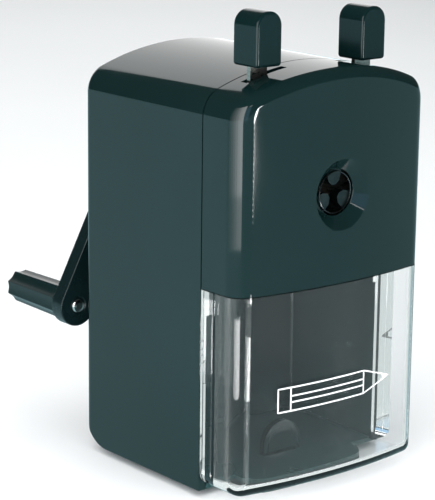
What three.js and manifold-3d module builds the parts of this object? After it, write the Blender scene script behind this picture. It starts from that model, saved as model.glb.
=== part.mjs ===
// Desk pencil sharpener with a hand crank, squeeze levers and a clear shavings drawer.
// Millimetres, +Z up, front toward -Y. The origin is under the body, on the table.
import * as THREE from "three";
import Module from "manifold-3d";

const wasm = await Module();
wasm.setup();
const { Manifold, Mesh } = wasm;

// Body
const HALF_WIDTH = 33;
const FRONT_Y = -34.6;
const COVER_REAR_Y = -17.25;
const CASING_FRONT_Y = -16.8;
const REAR_Y = 34.6;
const CASING_BOTTOM = 2;
const COVER_BOTTOM = 57.6;
const ARCH_TOP = 114.5;
const ARCH_RADIUS = 80;
const SHOULDER_RADIUS = 7.5;
const FRONT_BULGE = 3.56;
const WALL = 2.2;

// Pencil line and crank
const AXIS_Z = 81.4;
const MOUTH_RADIUS = 9.25;
const HOLE_RADIUS = 6.2;
const SHAFT_RADIUS = 4;
const CRANK_THROW = 51.5;
const CRANK_LEAN = 36;
const ARM_FRONT_Y = 41.4;
const ARM_REAR_Y = 46.2;
const GRIP_FRONT_Y = 47.2;
const GRIP_REAR_Y = 71.2;
const GRIP_FRONT_RADIUS = 5.1;
const GRIP_REAR_RADIUS = 4.72;

// Levers and jaws
const LEFT_LEVER = { x: -18.8, capBottom: 115.1 };
const RIGHT_LEVER = { x: 17.5, capBottom: 114 };
const STRIP_WIDTH = 5.6;
const STRIP_FRONT_Y = -21.95;
const STRIP_THICKNESS = 1.3;
const CAP_HEIGHT = 14.15;
const JAW_TIP = 1.9;
const JAW_PIN = 11.5;
const JAW_TRAVEL = 2.2;
const LEVER_TURN = 10;

// Gears
const RING_TEETH = 31;
const PINION_TEETH = 10;
const MODULE = 1;
const CUTTER_TILT = 11;
const PINION_Y = -10;

// Sliding front and drawer
const ROD_X = 24.5;
const ROD_Z = 68;
const ROD_RADIUS = 2;
const DRAWER_BOTTOM = 3.5;
const DRAWER_TOP = 57.35;
const DRAWER_CORNER = 4;
const TONGUE_HALF = 21;
const TONGUE_FRONT_Y = -25.4;
const DRAWER_REAR_Y = 17;

const rad = (degrees) => (degrees * Math.PI) / 180;

// ---- solids ----

function toManifold(geometry) {
  const flat = geometry.index ? geometry.toNonIndexed() : geometry;
  const position = flat.attributes.position;
  const keys = new Map();
  const vertices = [];
  const triangles = [];
  for (let i = 0; i < position.count; i += 1) {
    const point = [position.getX(i), position.getY(i), position.getZ(i)];
    const key = point.map((value) => Math.round(value * 1e5)).join();
    if (!keys.has(key)) {
      keys.set(key, keys.size);
      vertices.push(...point);
    }
    triangles.push(keys.get(key));
  }
  const kept = [];
  for (let i = 0; i < triangles.length; i += 3) {
    const [a, b, c] = triangles.slice(i, i + 3);
    if (a !== b && b !== c && c !== a) kept.push(a, b, c);
  }
  return new Manifold(
    new Mesh({ numProp: 3, vertProperties: new Float32Array(vertices), triVerts: new Uint32Array(kept) }),
  );
}

function toGeometry(solid) {
  const mesh = solid.getMesh();
  const geometry = new THREE.BufferGeometry();
  geometry.setAttribute("position", new THREE.BufferAttribute(new Float32Array(mesh.vertProperties), 3));
  geometry.setIndex(new THREE.BufferAttribute(new Uint32Array(mesh.triVerts), 1));
  geometry.computeVertexNormals();
  return geometry;
}

const join = (...solids) => solids.reduce((a, b) => a.add(b));
const cut = (solid, ...tools) => tools.reduce((a, b) => a.subtract(b), solid);

function box(x0, x1, y0, y1, z0, z1) {
  const geometry = new THREE.BoxGeometry(x1 - x0, y1 - y0, z1 - z0);
  geometry.translate((x0 + x1) / 2, (y0 + y1) / 2, (z0 + z1) / 2);
  return toManifold(geometry);
}

// Turned solid about a line along Y through (x, z); profile is a list of [radius, y].
function turned(profile, x = 0, z = AXIS_Z, segments = 28) {
  const points = profile.map(([radius, y]) => new THREE.Vector2(radius, y));
  const geometry = new THREE.LatheGeometry([...points, points[0].clone()], segments);
  geometry.translate(x, 0, z);
  return toManifold(geometry);
}

const rod = (radius, y0, y1, x = 0, z = AXIS_Z, segments = 28) =>
  turned([[0, y0], [radius, y0], [radius, y1], [0, y1]], x, z, segments);

const tube = (inner, outer, y0, y1, x = 0, z = AXIS_Z, segments = 28) =>
  turned([[inner, y0], [outer, y0], [outer, y1], [inner, y1]], x, z, segments);

// Upright turned solid; profile is a list of [radius, z].
function post(profile, x, y, segments = 20) {
  const points = profile.map(([radius, z]) => new THREE.Vector2(radius, z));
  const geometry = new THREE.LatheGeometry([...points, points[0].clone()], segments);
  geometry.rotateX(Math.PI / 2);
  geometry.translate(x, y, 0);
  return toManifold(geometry);
}

// Flat outline in X and Z, made solid between two Y values.
function slabY(outline, y0, y1) {
  const shape = new THREE.Shape(outline.map(([x, z]) => new THREE.Vector2(x, z)));
  const geometry = new THREE.ExtrudeGeometry(shape, { depth: y1 - y0, bevelEnabled: false });
  geometry.rotateX(Math.PI / 2);
  geometry.translate(0, y1, 0);
  return toManifold(geometry);
}

// Flat outline in X and Y, made solid between two Z values.
function slabZ(outline, z0, z1) {
  const shape = new THREE.Shape(outline.map(([x, y]) => new THREE.Vector2(x, y)));
  const geometry = new THREE.ExtrudeGeometry(shape, { depth: z1 - z0, bevelEnabled: false });
  geometry.translate(0, 0, z0);
  return toManifold(geometry);
}

// Flat outline in Y and Z, made solid between two X values.
function slabX(outline, x0, x1) {
  const shape = new THREE.Shape(outline.map(([y, z]) => new THREE.Vector2(y, z)));
  const geometry = new THREE.ExtrudeGeometry(shape, { depth: x1 - x0, bevelEnabled: false });
  geometry.rotateY(Math.PI / 2);
  geometry.rotateX(Math.PI / 2);
  geometry.translate(x0, 0, 0);
  return toManifold(geometry);
}

const circle = (radius, x, z, count = 24) =>
  Array.from({ length: count }, (_, i) => {
    const turn = (i / count) * 2 * Math.PI;
    return [x + radius * Math.cos(turn), z + radius * Math.sin(turn)];
  });

function place(solid, matrix) {
  const geometry = toGeometry(solid);
  geometry.applyMatrix4(matrix);
  return toManifold(geometry);
}

// ---- casing sections ----

// Points over the arched top, left to right: [x, z, outward x, outward z].
function archTop(inset, archSteps, shoulderSteps) {
  const archZ = ARCH_TOP - ARCH_RADIUS;
  const filletX = HALF_WIDTH - SHOULDER_RADIUS;
  const filletZ = archZ + Math.sqrt((ARCH_RADIUS - SHOULDER_RADIUS) ** 2 - filletX ** 2);
  const meet = Math.atan2(filletZ - archZ, filletX);
  const points = [];
  const arc = (x, z, radius, from, to, steps, first) => {
    for (let i = first; i <= steps; i += 1) {
      const a = from + ((to - from) * i) / steps;
      points.push([x + radius * Math.cos(a), z + radius * Math.sin(a), Math.cos(a), Math.sin(a)]);
    }
  };
  const shoulder = SHOULDER_RADIUS - inset;
  arc(-filletX, filletZ, shoulder, Math.PI, Math.PI - meet, shoulderSteps, 0);
  arc(0, archZ, ARCH_RADIUS - inset, Math.PI - meet, meet, archSteps, 1);
  arc(filletX, filletZ, shoulder, meet, 0, shoulderSteps, 1);
  return points;
}

// The same for a straight top.
function flatTop(halfWidth, z, steps) {
  return Array.from({ length: steps + 1 }, (_, i) => {
    const x = halfWidth * ((2 * i) / steps - 1);
    const outward = i === 0 ? -1 : i === steps ? 1 : 0;
    return [x, z, outward, 0];
  });
}

// A block with a flat open end and a closed end whose edges are rounded. The closed end can bulge.
function block({ top, bottom, openY, closedY, bulge = 0, sideRadius, topRadius, steps = 5 }) {
  const sign = Math.sign(openY - closedY);
  const loops = [top.map(([x, z]) => [x, openY, z])];
  for (let k = 0; k <= steps; k += 1) {
    const turn = (k / steps) * (Math.PI / 2);
    loops.push(
      top.map(([x, z, nx, nz]) => {
        const radius = sideRadius * nx * nx + topRadius * (1 - nx * nx);
        const drawn = radius * (1 - Math.cos(turn));
        const px = x - nx * drawn;
        const depth = radius * (1 - Math.sin(turn)) + bulge * (px / HALF_WIDTH) ** 2;
        return [px, closedY + sign * depth, z - nz * drawn];
      }),
    );
  }
  const rings = loops.map((loop) => [...loop, ...loop.map(([x, y]) => [x, y, bottom]).reverse()]);
  const positions = [];
  const quad = (a, b, c, d) => positions.push(...a, ...b, ...c, ...a, ...c, ...d);
  const count = rings[0].length;
  for (let k = 0; k + 1 < rings.length; k += 1) {
    for (let i = 0; i < count; i += 1) {
      const j = (i + 1) % count;
      quad(rings[k][i], rings[k][j], rings[k + 1][j], rings[k + 1][i]);
    }
  }
  const first = rings[0];
  const last = rings[rings.length - 1];
  for (let i = 0; i + 1 < top.length; i += 1) {
    const under = count - 1 - i;
    quad(first[i], first[under], first[under - 1], first[i + 1]);
    quad(last[i], last[i + 1], last[under - 1], last[under]);
  }
  const geometry = new THREE.BufferGeometry();
  const data = sign > 0 ? flipped(positions) : positions;
  geometry.setAttribute("position", new THREE.BufferAttribute(new Float32Array(data), 3));
  return toManifold(geometry);
}

function flipped(positions) {
  const result = [];
  for (let i = 0; i < positions.length; i += 9) {
    const corners = [0, 6, 3].map((step) => positions.slice(i + step, i + step + 3));
    result.push(...corners.flat());
  }
  return result;
}

// Side view of the rear half with its rounded lower rear edge.
function rearSide() {
  const radius = 10;
  const outline = [[-40, 130], [-40, -5], [REAR_Y - radius, CASING_BOTTOM]];
  for (let i = 0; i <= 6; i += 1) {
    const a = rad(-90 + 15 * i);
    outline.push([REAR_Y - radius + radius * Math.cos(a), CASING_BOTTOM + radius + radius * Math.sin(a)]);
  }
  outline.push([REAR_Y, 130]);
  return slabX(outline, -50, 50);
}

// ---- fixed parts ----

function mainCasing() {
  const outer = block({
    top: archTop(0, 12, 5), bottom: CASING_BOTTOM, openY: CASING_FRONT_Y, closedY: REAR_Y,
    sideRadius: 2.8, topRadius: 2.6,
  }).intersect(rearSide());
  const inner = block({
    top: archTop(WALL, 8, 3), bottom: CASING_BOTTOM - 1, openY: CASING_FRONT_Y - 1,
    closedY: REAR_Y - WALL, sideRadius: 1, topRadius: 1, steps: 2,
  });
  const bottomLedge = slabX(
    [[REAR_Y - 9.2, 0], [REAR_Y + 1, 0], [REAR_Y + 1, 12], [REAR_Y - 2.5, 9], [REAR_Y - 6, 5]],
    -HALF_WIDTH, HALF_WIDTH,
  ).intersect(outer);
  let casing = join(cut(outer, inner), bottomLedge);
  for (const side of [-1, 1]) {
    casing = join(casing, sideBox(side, 22.5, 31.5, -12.6, -2, 92, 98));
    casing = join(casing, sideBox(side, 17, 24, 18.5, 33, 3.4, 14));
    casing = cut(casing, rod(1.3, -12.7, -5, side * 26, 95, 12));
    casing = cut(casing, post([[0, 3.3], [1.3, 3.3], [1.3, 12], [0, 12]], side * 20.5, 21.5, 12));
  }
  return cut(casing, rod(7.05, REAR_Y - 4, REAR_Y + 1));
}

function sideBox(side, x0, x1, y0, y1, z0, z1) {
  return side > 0 ? box(x0, x1, y0, y1, z0, z1) : box(-x1, -x0, y0, y1, z0, z1);
}

// Outline in X and Y that follows the bulged front, with rounded front corners.
function bulgedOutline(halfWidth, frontY, rearY, corner) {
  const outline = [[-halfWidth, rearY]];
  const curve = (x) => frontY + FRONT_BULGE * (x / HALF_WIDTH) ** 2;
  const flat = halfWidth - corner;
  for (let i = 0; i <= 4; i += 1) {
    const a = rad(180 + 22.5 * i);
    outline.push([-flat + corner * Math.cos(a), curve(flat) + corner + corner * Math.sin(a)]);
  }
  for (let i = 1; i < 8; i += 1) {
    const x = -flat + (2 * flat * i) / 8;
    outline.push([x, curve(x)]);
  }
  for (let i = 0; i <= 4; i += 1) {
    const a = rad(270 + 22.5 * i);
    outline.push([flat + corner * Math.cos(a), curve(flat) + corner + corner * Math.sin(a)]);
  }
  outline.push([halfWidth, rearY]);
  return outline;
}

function basePlate() {
  const tongue = slabZ(bulgedOutline(TONGUE_HALF, TONGUE_FRONT_Y, -16, 7), 2, 3.2);
  const plate = join(tongue, box(-30.4, 30.4, -16.6, 25, 2, 3.2));
  return cut(plate, ...[-20.5, 20.5].map((x) => post([[0, 1], [1.6, 1], [1.6, 4], [0, 4]], x, 21.5, 12)));
}

const frontFoot = () => slabZ(bulgedOutline(TONGUE_HALF, TONGUE_FRONT_Y, -13, 7), 0, 1.9);

const roundFoot = (radius, x, y) =>
  post([[0, 0], [radius - 0.4, 0], [radius, 0.4], [radius, 1.9], [0, 1.9]], x, y, 24);

const baseScrew = (x) =>
  post([[0, 0.9], [2.2, 0.9], [2.8, 1.3], [2.8, 1.9], [1.2, 1.9], [1.2, 11], [0, 11]], x, 21.5, 12);

function bulkhead() {
  const outline = archTop(WALL + 0.2, 8, 3).map(([x, z]) => [x, z]);
  outline.push([HALF_WIDTH - WALL - 0.2, 59.5], [-HALF_WIDTH + WALL + 0.2, 59.5]);
  let plate = slabY(outline, -15, -13);
  for (const x of [-ROD_X, ROD_X]) {
    plate = join(plate, rod(3.8, -13.5, -8.5, x, ROD_Z, 16));
    plate = cut(plate, rod(ROD_RADIUS + 0.06, -16, -8, x, ROD_Z, 24));
  }
  plate = cut(plate, rod(4.4, -16, -12));
  return cut(plate, rod(1.6, -16, -12, -26, 95, 12), rod(1.6, -16, -12, 26, 95, 12));
}

const bulkheadScrew = (x) =>
  turned([[0, -16.6], [2.4, -16.6], [2.9, -16.1], [2.9, -15.1], [1.2, -15.1], [1.2, -5.5], [0, -5.5]], x, 95, 12);

// Outline of a gear; each tooth runs from the root radius to the tip radius and back.
function toothed(teeth, rootRadius, tipRadius, rootHalf, tipHalf, phase) {
  const outline = [];
  for (let i = 0; i < teeth; i += 1) {
    const middle = phase + (i / teeth) * 2 * Math.PI;
    const step = [[rootRadius, -rootHalf], [tipRadius, -tipHalf], [tipRadius, tipHalf], [rootRadius, rootHalf]];
    for (const [radius, half] of step) {
      const a = middle + half / radius;
      outline.push([radius * Math.cos(a), AXIS_Z + radius * Math.sin(a)]);
    }
  }
  return outline;
}

function ringGear() {
  const pitch = (RING_TEETH * MODULE) / 2;
  const phase = Math.PI / 2 + Math.PI / RING_TEETH;
  const gaps = toothed(RING_TEETH, pitch + 1.6, pitch - 0.6, 0.85, 0.5, phase);
  const ring = rod(pitch + 4.8, -12.8, -6.8, 0, AXIS_Z, 40);
  return cut(ring, slabY(gaps, -13.5, -6));
}

const rearBearing = () =>
  turned([
    [SHAFT_RADIUS + 0.06, 29.5], [7, 29.5], [7, REAR_Y + 0.1], [10.5, REAR_Y + 0.1],
    [11, REAR_Y + 0.8], [11, 37.4], [10, 38.4], [SHAFT_RADIUS + 0.06, 38.4],
  ]);

// ---- sliding front ----

function frontCover() {
  const outer = block({
    top: archTop(0, 12, 4), bottom: COVER_BOTTOM, openY: COVER_REAR_Y, closedY: FRONT_Y,
    bulge: FRONT_BULGE, sideRadius: 4.5, topRadius: 3, steps: 4,
  });
  const inner = block({
    top: archTop(WALL, 8, 2), bottom: COVER_BOTTOM + 2, openY: COVER_REAR_Y + 1,
    closedY: FRONT_Y + 2.4, bulge: FRONT_BULGE, sideRadius: 2, topRadius: 1, steps: 2,
  });
  let cover = cut(outer, inner);
  cover = join(cover, rod(9.6, FRONT_Y + 1, FRONT_Y + 3.4));
  for (const x of [-ROD_X, ROD_X]) cover = join(cover, rod(4, -31.2, -22, x, ROD_Z, 16));
  for (const x of [-17, 17]) cover = join(cover, rod(3, -32.5, -27.7, x, 69, 14));
  for (const x of [-ROD_X, ROD_X]) cover = cut(cover, rod(ROD_RADIUS + 0.03, -30.2, -21, x, ROD_Z, 20));
  for (const x of [-17, 17]) cover = cut(cover, rod(1.2, -31.5, -27, x, 69, 12));
  const mouth = turned([
    [0, FRONT_Y - 1], [MOUTH_RADIUS + 1, FRONT_Y - 1], [MOUTH_RADIUS, FRONT_Y],
    [HOLE_RADIUS, FRONT_Y + 3], [HOLE_RADIUS, FRONT_Y + 4], [0, FRONT_Y + 4],
  ], 0, AXIS_Z, 32);
  return cut(cover, mouth, leverSlot(LEFT_LEVER.x), leverSlot(RIGHT_LEVER.x));
}

// Slot in the cover's top that lets a lever swing toward the middle.
function leverSlot(x) {
  const [outer, inner] = [x + 4.4 * Math.sign(x), x - 9.2 * Math.sign(x)];
  return box(Math.min(outer, inner), Math.max(outer, inner), -22.5, -20.1, 104, 120);
}

function chuckPlate() {
  const ears = [[-20.5, 66], [20.5, 66], [20.5, 72], [13, 82], [-13, 82], [-20.5, 72]];
  let plate = join(rod(16.5, -27.5, -26.2, 0, AXIS_Z, 40), slabY(ears, -27.5, -26.2));
  plate = join(plate, rod(8.2, -26.5, -18.4));
  plate = cut(plate, rod(HOLE_RADIUS, -28, -18));
  for (const turn of [90, 210, 330]) plate = cut(plate, radialSlot(turn));
  for (const x of [-17, 17]) plate = cut(plate, rod(1.4, -28, -26, x, 69, 12));
  return plate;
}

// Slot that a jaw's pin runs in, at the given angle in the X-Z plane.
function radialSlot(turn) {
  const along = [Math.cos(rad(turn)), Math.sin(rad(turn))];
  const at = (radius, aside) => [
    along[0] * radius - along[1] * aside,
    AXIS_Z + along[1] * radius + along[0] * aside,
  ];
  return slabY([at(9.5, -1.25), at(15.6, -1.25), at(15.6, 1.25), at(9.5, 1.25)], -28, -26);
}

const chuckRing = () => tube(5.3, 5.75, -31.55, -31, 0, AXIS_Z, 32);

const chuckScrew = (x) =>
  turned([[0, -31], [1.1, -31], [1.1, -26.1], [2.6, -26.1], [2.6, -25], [2, -24.5], [0, -24.5]], x, 69, 12);

// One jaw, pointing at the axis; the others are the same jaw turned.
function jaw(turn) {
  const half = [[JAW_TIP, 0.6], [JAW_TIP + 1, 1.8], [5.4, 2.6], [14, 2.6]];
  const outline = [...half.map(([radius, aside]) => [radius, -aside]), ...half.reverse()];
  const at = ([radius, aside]) => [
    radius * Math.cos(rad(turn)) - aside * Math.sin(rad(turn)),
    AXIS_Z + radius * Math.sin(rad(turn)) + aside * Math.cos(rad(turn)),
  ];
  const [pinX, pinZ] = at([JAW_PIN, 0]);
  return join(slabY(outline.map(at), -30.8, -27.8), rod(1, -28.5, -20.8, pinX, pinZ, 12));
}

// Slanting slots in the left lever's ring that push the jaw pins outward.
function camSlot(turn) {
  const track = [-7, 0, LEVER_TURN / 2, LEVER_TURN, LEVER_TURN + 6].map((lever) => {
    const part = Math.min(Math.max(lever / LEVER_TURN, 0), 1);
    return { angle: rad(turn + lever), radius: JAW_PIN + JAW_TRAVEL * part };
  });
  const side = (offset) => track.map(({ angle, radius }) => [
    (radius + offset) * Math.cos(angle),
    AXIS_Z + (radius + offset) * Math.sin(angle),
  ]);
  return slabY([...side(1.75), ...side(-1.75).reverse()], STRIP_FRONT_Y - 1, STRIP_FRONT_Y + 3);
}

function leverStripLeft() {
  const y0 = STRIP_FRONT_Y;
  const y1 = y0 + STRIP_THICKNESS;
  const outer = LEFT_LEVER.x - STRIP_WIDTH / 2;
  const inner = LEFT_LEVER.x + STRIP_WIDTH / 2;
  const top = LEFT_LEVER.capBottom + 6;
  const arm = [[outer, top], [outer, 95], [-14.5, 84], [-11, 84], [-8, 93], [inner, 97], [inner, top]];
  let strip = join(slabY(arm, y0, y1), tube(8.28, 17.4, y0, y1, 0, AXIS_Z, 36));
  strip = cut(strip, rod(8.28, y0 - 1, y1 + 1, 0, AXIS_Z, 36));
  for (const turn of [90, 210, 330]) strip = cut(strip, camSlot(turn));
  return strip;
}

function leverStripRight() {
  const y0 = STRIP_FRONT_Y;
  const y1 = y0 + STRIP_THICKNESS;
  const ringFront = y1 + 0.45;
  const ringRear = ringFront + STRIP_THICKNESS;
  const inner = RIGHT_LEVER.x - STRIP_WIDTH / 2;
  const outer = RIGHT_LEVER.x + STRIP_WIDTH / 2;
  const top = RIGHT_LEVER.capBottom + 6;
  const strip = slabY([[inner, top], [inner, 96], [outer, 96], [outer, top]], y0, y1);
  const joggle = slabY([[inner, 100], [inner, 96], [outer, 96], [outer, 100]], y0, ringRear);
  const arm = slabY([[inner, 100], [7, 92.5], [9, 84], [13, 84], [outer, 95], [outer, 100]], ringFront, ringRear);
  const ring = tube(8.28, 12.5, ringFront, ringRear, 0, AXIS_Z, 36);
  return cut(join(strip, joggle, arm, ring), rod(8.28, ringFront - 1, ringRear + 1, 0, AXIS_Z, 36));
}

function leverCap({ x, capBottom }) {
  const half = 4.25;
  const round = 3.9;
  const centreZ = capBottom + CAP_HEIGHT - round;
  const outline = [[x - half, capBottom + 0.8], [x - half + 0.8, capBottom]];
  outline.push([x + half - 0.8, capBottom], [x + half, capBottom + 0.8]);
  for (const [centreX, start] of [[x + half - round, 0], [x - half + round, 90]]) {
    for (let i = 0; i <= 6; i += 1) {
      const a = rad(start + 15 * i);
      outline.push([centreX + round * Math.cos(a), centreZ + round * Math.sin(a)]);
    }
  }
  const middle = STRIP_FRONT_Y + STRIP_THICKNESS / 2;
  const cap = slabY(outline, middle - 4.8, middle + 4.8);
  const reach = STRIP_WIDTH / 2 + 0.02;
  const slit = box(
    x - reach, x + reach, STRIP_FRONT_Y - 0.02, STRIP_FRONT_Y + STRIP_THICKNESS + 0.02,
    capBottom - 1, capBottom + 6.05,
  );
  return cut(cap, slit);
}

const guideRod = (x) =>
  turned([
    [0, -30], [ROD_RADIUS, -30], [ROD_RADIUS, 25.6], [4.4, 25.6], [4.4, 27.1], [1.6, 27.9], [0, 27.9],
  ], x, ROD_Z, 20);

// Coiled wire from one point to another along an axis, with flat-cut ends.
class Coil extends THREE.Curve {
  constructor(radius, turns, start, length) {
    super();
    Object.assign(this, { radius, turns, start, length });
  }

  getPoint(t, target = new THREE.Vector3()) {
    const a = t * this.turns * 2 * Math.PI;
    return target.set(this.radius * Math.cos(a), this.start + this.length * t, this.radius * Math.sin(a));
  }
}

function coil(radius, wire, turns, start, length) {
  const shape = new THREE.Shape(circle(wire, 0, 0, 5).map(([x, y]) => new THREE.Vector2(x, y)));
  const path = new Coil(radius, turns, start, length);
  return new THREE.ExtrudeGeometry(shape, { steps: Math.round(turns * 10), extrudePath: path, bevelEnabled: false });
}

function returnSpring(x) {
  const geometry = coil(2.95, 0.4, 7, -8, 33.1);
  geometry.translate(x, 0, ROD_Z);
  return toManifold(geometry);
}

function leverSpring() {
  const start = LEFT_LEVER.x + STRIP_WIDTH / 2 + 0.5;
  const length = RIGHT_LEVER.x - STRIP_WIDTH / 2 - 0.5 - start;
  const geometry = coil(2.3, 0.35, 6, -start - length, length);
  geometry.rotateZ(Math.PI / 2);
  geometry.translate(0, STRIP_FRONT_Y + STRIP_THICKNESS / 2, 102.5);
  return toManifold(geometry);
}

// ---- drawer ----

function drawer() {
  const front = block({
    top: flatTop(HALF_WIDTH, DRAWER_TOP, 12), bottom: DRAWER_BOTTOM, openY: -17.2, closedY: FRONT_Y,
    bulge: FRONT_BULGE, sideRadius: 4.5, topRadius: 0.6,
  });
  const hollow = block({
    top: flatTop(HALF_WIDTH - 2, DRAWER_TOP + 5, 12), bottom: DRAWER_BOTTOM + 1.5, openY: -19.2,
    closedY: FRONT_Y + 2, bulge: FRONT_BULGE, sideRadius: 2.6, topRadius: 0.5, steps: 3,
  });
  const rear = box(-29.4, 29.4, -18, DRAWER_REAR_Y, DRAWER_BOTTOM, 50);
  const rearHollow = box(-27.6, 27.6, -20, DRAWER_REAR_Y - 1.8, DRAWER_BOTTOM + 1.5, 70);
  const shell = trayBottom(HALF_WIDTH, DRAWER_BOTTOM, DRAWER_CORNER);
  const space = trayBottom(HALF_WIDTH - 2, DRAWER_BOTTOM + 1.5, DRAWER_CORNER - 1.6);
  const bin = cut(join(front.intersect(shell), rear), hollow.intersect(space), rearHollow);
  return cut(join(bin, tab(6.5, 9.2, -12.1, -10.1)), tab(4.9, 7.6, -12.6, -11.5));
}

// Everything above a flat bottom whose two lower corners are rounded.
function trayBottom(half, bottom, corner) {
  const outline = [[-half, 80]];
  for (const [x, start] of [[-half + corner, 180], [half - corner, 270]]) {
    for (let i = 0; i <= 4; i += 1) {
      const a = rad(start + 22.5 * i);
      outline.push([x + corner * Math.cos(a), bottom + corner + corner * Math.sin(a)]);
    }
  }
  outline.push([half, 80]);
  return slabY(outline, -50, 50);
}

// Arch-topped upright tab on the drawer's floor.
function tab(half, height, y0, y1) {
  const floor = DRAWER_BOTTOM + 1;
  const outline = [[-half, floor], [half, floor]];
  for (let i = 0; i <= 10; i += 1) {
    const a = rad(18 * i);
    outline.push([half * Math.cos(a), floor + height - half * 0.95 + half * Math.sin(a)]);
  }
  return slabY(outline, y0, y1);
}

// ---- crank and cutter ----

const armEnd = [-CRANK_THROW * Math.sin(rad(CRANK_LEAN)), AXIS_Z - CRANK_THROW * Math.cos(rad(CRANK_LEAN))];

// Teardrop outline around the shaft and the pin.
function teardrop(hub, end) {
  const axis = Math.atan2(armEnd[1] - AXIS_Z, armEnd[0]);
  const spread = Math.acos((hub - end) / CRANK_THROW);
  const outline = [];
  for (let i = 0; i <= 8; i += 1) {
    const a = axis - spread + (2 * spread * i) / 8;
    outline.push([armEnd[0] + end * Math.cos(a), armEnd[1] + end * Math.sin(a)]);
  }
  for (let i = 0; i <= 14; i += 1) {
    const a = axis + spread + ((2 * Math.PI - 2 * spread) * i) / 14;
    outline.push([hub * Math.cos(a), AXIS_Z + hub * Math.sin(a)]);
  }
  return outline;
}

function crankArm() {
  const plate = slabY(teardrop(13.5, 5.9), ARM_FRONT_Y, ARM_REAR_Y);
  return cut(
    join(plate, rod(8.5, 39, ARM_FRONT_Y + 3)),
    rod(SHAFT_RADIUS + 0.01, 38, 44),
    rod(1.7, 43, 47, 0, AXIS_Z, 16),
    rod(2.01, 40, 47, armEnd[0], armEnd[1], 24),
  );
}

const crankScrew = () =>
  turned([[0, 37], [1.5, 37], [1.5, 46.3], [3.8, 46.3], [3.8, 47.3], [2.6, 48.4], [0, 48.4]], 0, AXIS_Z, 24);

const handlePin = () =>
  turned([
    [0, 40.7], [1, 40.75], [1.7, 41], [2, ARM_FRONT_Y], [2, GRIP_REAR_Y - 1.7],
    [2.9, GRIP_REAR_Y - 1.7], [2.9, GRIP_REAR_Y - 1], [2.2, GRIP_REAR_Y - 0.5], [0, GRIP_REAR_Y - 0.5],
  ], armEnd[0], armEnd[1], 24);

// Eight flat sides, a slight taper and a chamfered rear end, bored for the pin and its head.
function handleGrip() {
  const profile = [
    [0, GRIP_FRONT_Y], [GRIP_FRONT_RADIUS - 0.5, GRIP_FRONT_Y], [GRIP_FRONT_RADIUS, GRIP_FRONT_Y + 0.5],
    [GRIP_REAR_RADIUS, GRIP_REAR_Y - 0.9], [GRIP_REAR_RADIUS - 0.7, GRIP_REAR_Y], [0, GRIP_REAR_Y],
  ].map(([radius, y]) => new THREE.Vector2(radius, y));
  const facets = new THREE.LatheGeometry([...profile, profile[0].clone()], 8);
  facets.rotateY(Math.PI / 8);
  facets.translate(armEnd[0], 0, armEnd[1]);
  return cut(
    toManifold(facets),
    rod(2.08, 46, 75, armEnd[0], armEnd[1], 24),
    rod(3.1, GRIP_REAR_Y - 2, 75, armEnd[0], armEnd[1], 24),
  );
}

// The cutter's own frame: along +Y from the middle of its pinion, with the axis at z = AXIS_Z.
function cutterFrame() {
  const distance = (RING_TEETH - PINION_TEETH) * MODULE * 0.5;
  return new THREE.Matrix4()
    .makeTranslation(0, PINION_Y, AXIS_Z + distance)
    .multiply(new THREE.Matrix4().makeRotationX(-rad(CUTTER_TILT)))
    .multiply(new THREE.Matrix4().makeTranslation(0, 0, -AXIS_Z));
}

function helicalCutter() {
  const pitch = (PINION_TEETH * MODULE) / 2;
  const pinion = slabY(toothed(PINION_TEETH, pitch - 1, pitch + 0.8, 0.85, 0.4, Math.PI / 2), -1.5, 1.5);
  const axle = rod(1.5, -1.5, 31.6, 0, AXIS_Z, 20);
  return place(join(pinion, axle, twistedCutter()), cutterFrame());
}

function twistedCutter() {
  const teeth = 12;
  const points = Array.from({ length: teeth * 2 }, (_, i) => {
    const a = (i / (teeth * 2)) * 2 * Math.PI;
    const radius = i % 2 ? 4.5 : 5.2;
    return new THREE.Vector2(radius * Math.cos(a), radius * Math.sin(a));
  });
  const length = 19.8;
  const steps = 8;
  const geometry = new THREE.ExtrudeGeometry(new THREE.Shape(points), { depth: length, steps, bevelEnabled: false });
  const position = geometry.attributes.position;
  for (let i = 0; i < position.count; i += 1) {
    const turn = (position.getZ(i) / length) * rad(70);
    const x = position.getX(i);
    const y = position.getY(i);
    position.setXY(i, x * Math.cos(turn) - y * Math.sin(turn), x * Math.sin(turn) + y * Math.cos(turn));
  }
  geometry.rotateX(-Math.PI / 2);
  geometry.translate(0, 7.8, AXIS_Z);
  return toManifold(geometry);
}

function cutterCarrier() {
  const front = tube(4.6, 14, -5.6, -3.8, 0, AXIS_Z, 40);
  const rear = rod(14, 20.5, 23.5, 0, AXIS_Z, 40);
  const rails = [-1, 1].map((side) => sideBox(side, 9.5, 13, -4.5, 21, AXIS_Z - 3.5, AXIS_Z + 3.5));
  const shaft = rod(SHAFT_RADIUS, 23, 43.8);
  const axleHole = place(rod(1.56, -2, 31.8, 0, AXIS_Z, 20), cutterFrame());
  const bore = rod(1.56, 36.5, 44.5, 0, AXIS_Z, 24);
  return cut(join(front, rear, ...rails, shaft), axleHole, bore);
}

// ---- assembly ----

const DARK = new THREE.MeshStandardMaterial({ color: 0x22302f });
const CLEAR = new THREE.MeshStandardMaterial({ color: 0xdfe6e6, transparent: true, opacity: 0.35 });
const STEEL = new THREE.MeshStandardMaterial({ color: 0xb4b6b8, metalness: 0.8 });
const RUBBER = new THREE.MeshStandardMaterial({ color: 0x151515 });
const WHITE = new THREE.MeshStandardMaterial({ color: 0xd8d8d2 });

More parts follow.
